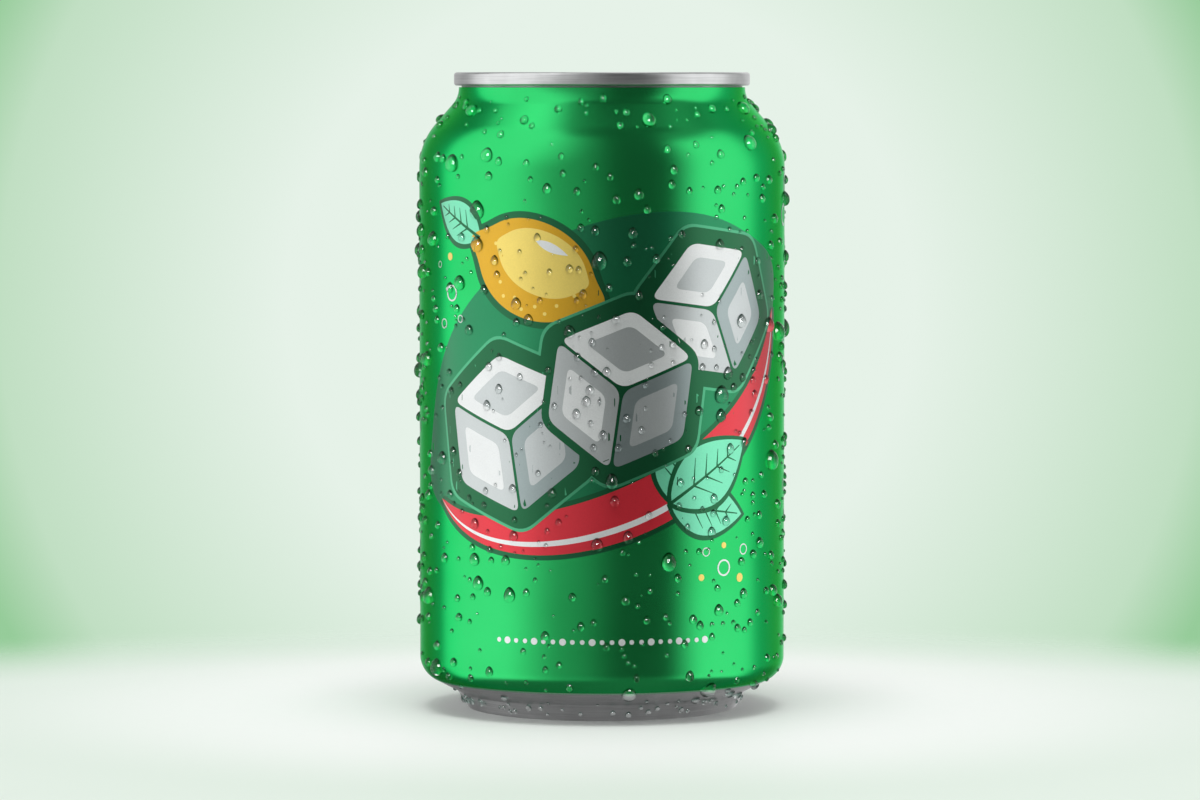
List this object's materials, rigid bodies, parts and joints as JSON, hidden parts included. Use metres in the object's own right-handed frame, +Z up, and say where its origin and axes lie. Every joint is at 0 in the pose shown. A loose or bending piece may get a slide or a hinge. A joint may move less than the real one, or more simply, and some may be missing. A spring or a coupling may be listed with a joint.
{
  "type": "drink can",
  "caption": "Shut aluminium drink can with a necked shoulder, seamed end, pull tab, domed base and condensation droplets fused to its wall.",
  "frame": {"origin": "centre of the can's base, on the surface that its stand ring rests on", "axes": "+Z up along the can's own axis, -Y towards the front of the printed label, +X to the right of the front"},
  "size_m": [0.0681, 0.0681, 0.1152],
  "materials": {
    "green_paint": "gloss",
    "base_aluminium": "satin",
    "end_aluminium": "satin",
    "tab_aluminium": "gloss",
    "print_ink": "gloss",
    "water": "gloss"
  },
  "bodies": {
    "root": {"can_body": "green_paint", "can_end": "end_aluminium", "pull_tab": "tab_aluminium"}
  },
  "joints": []
}
